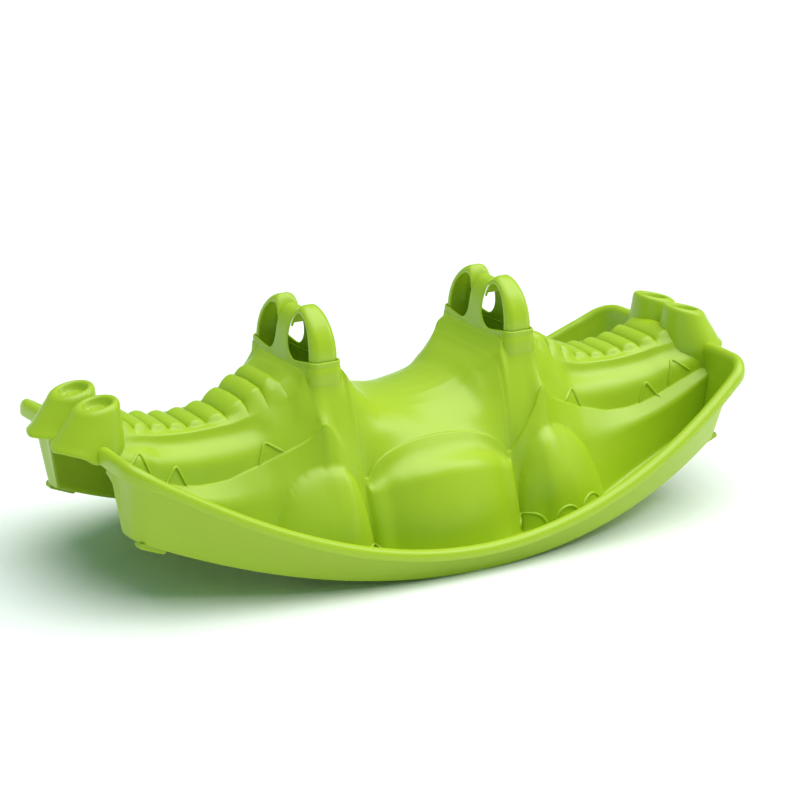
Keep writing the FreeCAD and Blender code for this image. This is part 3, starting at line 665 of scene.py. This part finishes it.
def ranged(tree, value, **ends):
    """Spread a value between the given ends."""
    made = node(tree, "ShaderNodeMapRange", **ends)
    tree.links.new(value, made.inputs["Value"])
    return made.outputs["Result"]


def runner_scuffs(tree, place):
    """How scuffed the plastic is: long fine scratches, only in the lowest few millimetres."""
    apart = tree.nodes.new("ShaderNodeSeparateXYZ")
    tree.links.new(place, apart.inputs[0])
    low = ranged(tree, apart.outputs["Z"], From_Min=SCUFF_HEIGHT, From_Max=0.0)
    stretch = tree.nodes.new("ShaderNodeMapping")
    stretch.inputs["Scale"].default_value = (20.0, 260.0, 260.0)
    tree.links.new(place, stretch.inputs["Vector"])
    scratch = node(tree, "ShaderNodeTexNoise", Scale=1.0, Detail=4.0, Roughness=0.7)
    tree.links.new(stretch.outputs["Vector"], scratch.inputs["Vector"])
    thin = ranged(tree, scratch.outputs["Fac"], From_Min=0.56, From_Max=0.68)
    scuff = tree.nodes.new("ShaderNodeMath")
    scuff.operation = "MULTIPLY"
    tree.links.new(low, scuff.inputs[0])
    tree.links.new(thin, scuff.inputs[1])
    return scuff.outputs[0]


def moulded_plastic(name, colour, roughness, grain):
    """Satin polypropylene: faint flow marks in the colour, fine grain, scuffed where it rocks."""
    material = bpy.data.materials.new(name)
    material.use_nodes = True
    tree = material.node_tree
    shader = tree.nodes["Principled BSDF"]
    place = tree.nodes.new("ShaderNodeTexCoord").outputs["Object"]
    flow = node(tree, "ShaderNodeTexNoise", Scale=7.0, Detail=3.0, Roughness=0.5)
    tree.links.new(place, flow.inputs["Vector"])
    tint = tree.nodes.new("ShaderNodeMix")
    tint.data_type = "RGBA"
    tint.inputs[6].default_value = tuple(c * FLOW_DARK for c in colour) + (1,)
    tint.inputs[7].default_value = tuple(min(1.0, c * FLOW_LIGHT) for c in colour) + (1,)
    tree.links.new(flow.outputs["Fac"], tint.inputs["Factor"])
    worn = tree.nodes.new("ShaderNodeMix")
    worn.data_type = "RGBA"
    worn.inputs[7].default_value = SCUFF
    tree.links.new(runner_scuffs(tree, place), worn.inputs["Factor"])
    tree.links.new(tint.outputs[2], worn.inputs[6])
    tree.links.new(worn.outputs[2], shader.inputs["Base Color"])
    sheen = ranged(tree, flow.outputs["Fac"], To_Min=roughness - 0.05, To_Max=roughness + 0.07)
    tree.links.new(sheen, shader.inputs["Roughness"])
    fine = node(tree, "ShaderNodeTexNoise", Scale=900.0, Detail=2.0, Roughness=0.6)
    tree.links.new(place, fine.inputs["Vector"])
    bump = node(tree, "ShaderNodeBump", Strength=grain, Distance=0.0004)
    tree.links.new(fine.outputs["Fac"], bump.inputs["Height"])
    tree.links.new(bump.outputs["Normal"], shader.inputs["Normal"])
    shader.inputs["Specular IOR Level"].default_value = 0.52
    shader.inputs["Subsurface Weight"].default_value = 0.12
    shader.inputs["Subsurface Radius"].default_value = (0.4, 1.0, 0.12)
    shader.inputs["Subsurface Scale"].default_value = 0.004
    return material


def finish_with(item, material):
    """Give a piece this material and no other."""
    item.data.materials.clear()
    item.data.materials.append(material)


finish_with(body, moulded_plastic("lime_polypropylene", LIME, 0.35, 0.10))
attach(body, "root")
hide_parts(*[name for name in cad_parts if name.startswith("body_")])


# --- Eye hoops ----------------------------------------------------------------------------
# Two arches on one skirt at each end, pushed up into the neck from below. They are the
# handles: a soft D in section, deep along X, and open underneath like a gutter.
HOOP_MIDDLE = 31.0
HOOP_REACH = 46.6
HOOP_REACH_INWARD = 21.0
HOOP_FOOT = 264
HOOP_RISE = 66
WINDOW_MIDDLE = 32.0
WINDOW_REACH = 33.5
WINDOW_REACH_INWARD = 19.0
WINDOW_RISE = 55
HOOP_HALF_DEPTH = 19.6
CROWN_SLIMMING = 5.0
SKIRT_Y = 77.6
SKIRT_INNER_Y = 65.5
SKIRT_FOOT = 238
SKIRT_SHARE = 0.15
HOOP_SWEEP = 0.78
HOOP_STEPS = 44
HOOP_WALL = 3.2
HOOP_ROUNDS = [1.4, 6.0, 6.0, 6.0, 6.0, 1.4, 1.4, 5.0, 5.0, 1.4]
HOOP_RUNS = [1, 2, 2, 5, 2, 2, 1, 2, 5, 2, 1]


def hoop_lines(turn):
    """Outer and window points of a hoop, from the foot of its skirt (0) to the band (1)."""
    if turn < SKIRT_SHARE:
        z = SKIRT_FOOT + (HOOP_FOOT - SKIRT_FOOT) * (turn / SKIRT_SHARE)
        return (SKIRT_Y, z), (SKIRT_INNER_Y, z), HOOP_HALF_DEPTH
    angle = math.pi * HOOP_SWEEP * (turn - SKIRT_SHARE) / (1 - SKIRT_SHARE)
    c, t = math.cos(angle), math.sin(angle)
    reach, window_reach = HOOP_REACH, WINDOW_REACH
    if c <= 0:
        reach, window_reach = HOOP_REACH_INWARD, WINDOW_REACH_INWARD
    outer = (HOOP_MIDDLE + math.copysign(abs(c) ** 1.25, c) * reach, HOOP_FOOT + HOOP_RISE * t ** 0.97)
    window = (WINDOW_MIDDLE + math.copysign(abs(c) ** 1.05, c) * window_reach, HOOP_FOOT + WINDOW_RISE * t)
    return outer, window, HOOP_HALF_DEPTH - CROWN_SLIMMING * t ** 2


def hoop_grid(side):
    """A hoop is a gutter: two faces with a window edge and the outer side that joins them."""
    grid = []
    for n in range(HOOP_STEPS + 1):
        outer, window, depth = hoop_lines(n / HOOP_STEPS)
        outer, window = np.array(outer), np.array(window)
        span = np.linalg.norm(outer - window)
        across = (outer - window) / span
        inside = span - HOOP_WALL
        brow, side_brow = 0.55 * span, depth - 0.6 * span
        corners = [(0, depth - HOOP_WALL / 2), (0, depth), (brow, depth), (span, side_brow),
                   (span, -side_brow), (brow, -depth), (0, -depth), (0, HOOP_WALL - depth),
                   (inside, HOOP_WALL - depth), (inside, depth - HOOP_WALL),
                   (0, depth - HOOP_WALL), (0, depth - HOOP_WALL / 2)]
        section = rounded_line(corners, HOOP_ROUNDS, HOOP_RUNS)
        grid.append([(w, side * (window + across * u)[0], (window + across * u)[1]) for u, w in section])
    return np.array(grid)


hoop_plastic = moulded_plastic("hoop_polypropylene", tuple(c * 1.01 for c in LIME), 0.31, 0.06)
for end_name, end in (("left", -1), ("right", 1)):
    verts, faces = [], []
    for side in (1, -1):
        grid = hoop_grid(side) + np.array([end * HANDLE_X, 0, 0])
        rows, columns = grid.shape[:2]
        quads = grid_faces(rows, columns, len(verts))
        if side > 0:
            quads = [quad[::-1] for quad in quads]
        verts.extend(grid.reshape(-1, 3))
        faces.extend(quads)
    hoops = new_mesh_object("eye_hoops_moulding_" + end_name, verts, faces, weld=0.01)
    crease(hoops, 45)
    finish_with(hoops, hoop_plastic)
    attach(hoops, "root")
    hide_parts("eye_hoops_" + end_name)


# --- Screws ------------------------------------------------------------------------------
# Four pan-head screws hold each pair of hoops. They go up through its foot flange into
# bosses inside the neck, and are steel with a clouded zinc plating.
ZINC_DARK = (0.52, 0.54, 0.56, 1)
ZINC_LIGHT = (0.72, 0.73, 0.74, 1)
zinc = bpy.data.materials.new("zinc_plated_steel")
zinc.use_nodes = True
zinc_tree = zinc.node_tree
zinc_shader = zinc_tree.nodes["Principled BSDF"]
zinc_shader.inputs["Metallic"].default_value = 1.0
zinc_place = zinc_tree.nodes.new("ShaderNodeTexCoord").outputs["Object"]
zinc_cloud = node(zinc_tree, "ShaderNodeTexNoise", Scale=420.0, Detail=3.0, Roughness=0.6)
zinc_tree.links.new(zinc_place, zinc_cloud.inputs["Vector"])
zinc_tone = zinc_tree.nodes.new("ShaderNodeMix")
zinc_tone.data_type = "RGBA"
zinc_tone.inputs[6].default_value = ZINC_DARK
zinc_tone.inputs[7].default_value = ZINC_LIGHT
zinc_tree.links.new(zinc_cloud.outputs["Fac"], zinc_tone.inputs["Factor"])
zinc_tree.links.new(zinc_tone.outputs[2], zinc_shader.inputs["Base Color"])
zinc_sheen = ranged(zinc_tree, zinc_cloud.outputs["Fac"], To_Min=0.24, To_Max=0.46)
zinc_tree.links.new(zinc_sheen, zinc_shader.inputs["Roughness"])
for end_name in ("left", "right"):
    finish_with(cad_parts["hoop_screws_" + end_name], zinc)


# --- End stops ---------------------------------------------------------------------------
# Four small blocks of a softer, less glossy lime plastic under the ends of the runners; their lime is
# darkened a little as painted shade. Each is pressed up into the floor of its trough on a barbed peg.
# LIME times 0.93 is painted shade for the shadow under the runner ends; the roughness and grain are the
# stops' own.
stop_plastic_painted_shade = moulded_plastic("end_stop_elastomer_painted_shade", tuple(c * 0.93 for c in LIME), 0.55, 0.22)
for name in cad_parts:
    if name.startswith("end_stop_"):
        finish_with(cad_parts[name], stop_plastic_painted_shade)


# --- Floor, light and camera -------------------------------------------------------------
# Plain matt white floor under one broad soft light from above and a softbox at the right,
# as in a studio. Floor, lights and camera are no part of the rocker.
FLOOR_HALF = 30000
floor_corners = [(-FLOOR_HALF, -FLOOR_HALF, 0), (FLOOR_HALF, -FLOOR_HALF, 0),
                 (FLOOR_HALF, FLOOR_HALF, 0), (-FLOOR_HALF, FLOOR_HALF, 0)]
floor = new_mesh_object("studio_floor", floor_corners, [(0, 1, 2, 3)])

white = bpy.data.materials.new("studio_white")
white.use_nodes = True
white.node_tree.nodes["Principled BSDF"].inputs["Base Color"].default_value = (0.93, 0.93, 0.93, 1)
white.node_tree.nodes["Principled BSDF"].inputs["Roughness"].default_value = 0.9
floor.data.materials.append(white)


def soft_light(name, place, target, width, depth, power):
    """A rectangular lamp at place that faces target."""
    lamp = bpy.data.lights.new(name, "AREA")
    lamp.shape = "RECTANGLE"
    lamp.size = width
    lamp.size_y = depth
    lamp.energy = power
    item = bpy.data.objects.new(name, lamp)
    bpy.context.scene.collection.objects.link(item)
    item.location = place
    item.rotation_euler = (Vector(target) - Vector(place)).to_track_quat("-Z", "Y").to_euler()


soft_light("right_softbox", (2.4, -1.0, 1.9), (0, 0, 0.15), 1.4, 1.4, 20.0)
overhead = bpy.data.lights.new("overhead_light", "SUN")
overhead.energy = 3.1
overhead.angle = math.radians(70)
overhead.color = (1.0, 0.98, 0.96)
overhead_item = bpy.data.objects.new("overhead_light", overhead)
bpy.context.scene.collection.objects.link(overhead_item)
overhead_item.rotation_euler = (math.radians(6), math.radians(9), 0)
bpy.context.scene.view_settings.view_transform = "Standard"

world = bpy.data.worlds.new("studio")
bpy.context.scene.world = world
world.use_nodes = True
world.node_tree.nodes["Background"].inputs[0].default_value = (0.5, 1.0, 0.84, 1)
world.node_tree.nodes["Background"].inputs[1].default_value = 0.30

camera_data = bpy.data.cameras.new("camera")
camera_data.sensor_width = 36
camera_data.lens = 131.25
camera_data.shift_x = 0.00275
camera_data.shift_y = -0.008
camera = bpy.data.objects.new("camera", camera_data)
bpy.context.scene.collection.objects.link(camera)
camera.location = (-1.98216, -3.14470, 1.36612)
right = Vector((0.84800, -0.52968, 0.01841)).normalized()
ahead = Vector((0.50935, 0.80486, -0.30456)).normalized()
up = right.cross(ahead)
camera.matrix_world = Matrix((
    (right.x, up.x, -ahead.x, camera.location.x),
    (right.y, up.y, -ahead.y, camera.location.y),
    (right.z, up.z, -ahead.z, camera.location.z), (0, 0, 0, 1)))
bpy.context.scene.camera = camera
